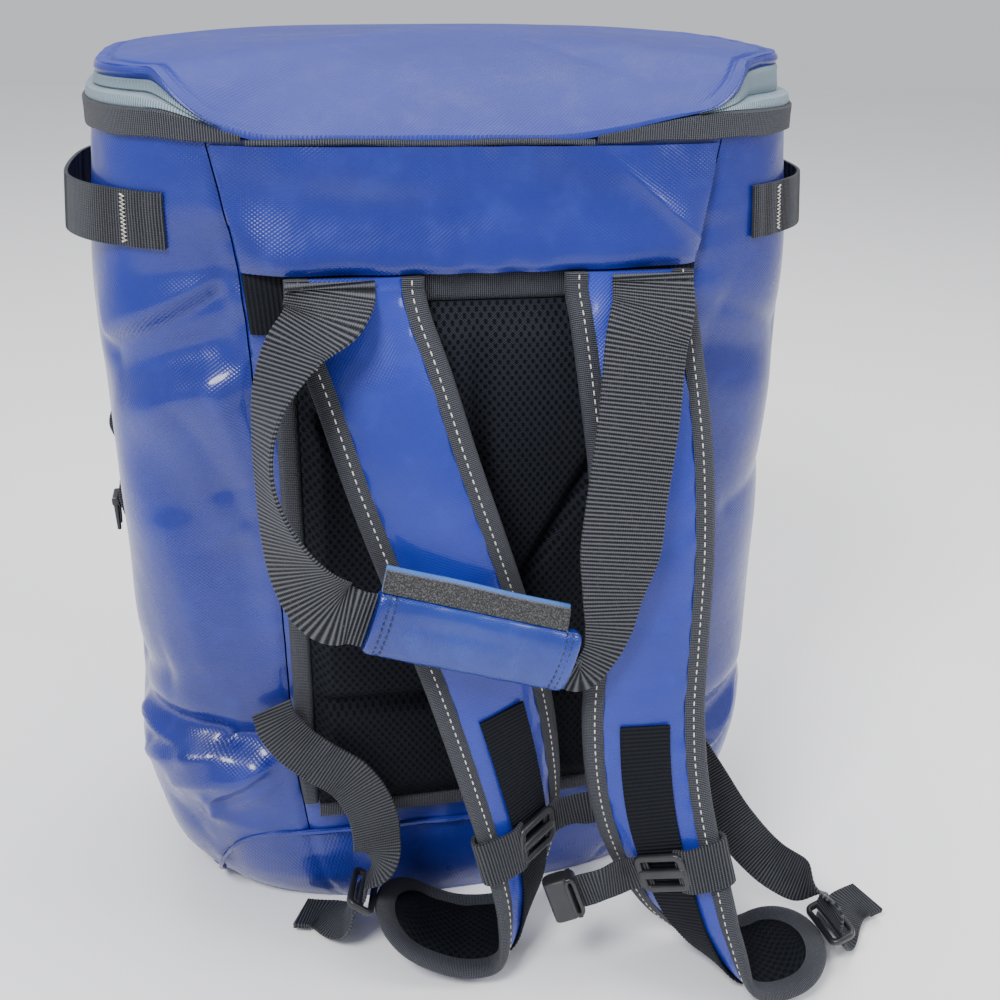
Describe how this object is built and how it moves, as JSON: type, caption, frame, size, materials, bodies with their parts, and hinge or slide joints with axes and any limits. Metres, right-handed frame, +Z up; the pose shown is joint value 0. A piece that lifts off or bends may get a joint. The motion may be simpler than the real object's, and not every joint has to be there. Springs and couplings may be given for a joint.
{
  "type": "cooler backpack",
  "caption": "Soft insulated cooler backpack in glossy blue coated cloth with padded shoulder straps, a wrapped carry handle, side grab loops and a zipped padded lid.",
  "frame": {"origin": "middle of the base on the surface that the backpack stands on", "axes": "+Z up to the lid, -Y towards the harness side, +X to the right seen from the harness side"},
  "size_m": [0.4114, 0.3531, 0.4656],
  "materials": {
    "tarp": "glossy",
    "webbing": "matte",
    "mesh": "matte",
    "zip": "satin",
    "plastic": "satin"
  },
  "bodies": {
    "root": {"side_wall": "tarp", "back_wall": "tarp", "base_wall": "tarp", "base_welt": "tarp", "rim_binding": "webbing", "hinge_binding": "webbing", "zip_tape_lower": "zip", "zip_tape_upper": "zip", "zip_slider": "plastic", "zip_puller": "plastic", "lid_gusset": "tarp", "lid_top": "tarp", "yoke_panel": "tarp", "back_pad": "mesh", "pad_binding_bottom": "webbing", "pad_binding_top": "webbing", "yoke_tab_left": "webbing", "pad_binding_left": "webbing", "strap_pad_left": "tarp", "strap_binding_left": "webbing", "strap_strip_left": "webbing", "sternum_slider_left": "plastic", "sternum_wrap_left": "webbing", "sternum_webbing_left": "webbing", "sternum_buckle_left": "plastic", "adjuster_left": "plastic", "lower_webbing_left": "webbing", "webbing_tail_left": "webbing", "handle_webbing_left": "webbing", "grab_loop_left": "webbing", "daisy_strip_left": "webbing", "daisy_clip_left": "plastic", "yoke_tab_right": "webbing", "pad_binding_right": "webbing", "strap_pad_right": "tarp", "strap_binding_right": "webbing", "strap_strip_right": "webbing", "sternum_slider_right": "plastic", "sternum_wrap_right": "webbing", "sternum_webbing_right": "webbing", "sternum_buckle_right": "plastic", "adjuster_right": "plastic", "lower_webbing_right": "webbing", "webbing_tail_right": "webbing", "handle_webbing_right": "webbing", "grab_loop_right": "webbing", "daisy_strip_right": "webbing", "daisy_clip_right": "plastic", "grip_sleeve": "tarp", "grip_hook_tape": "webbing", "grip_flap": "tarp"}
  },
  "joints": []
}
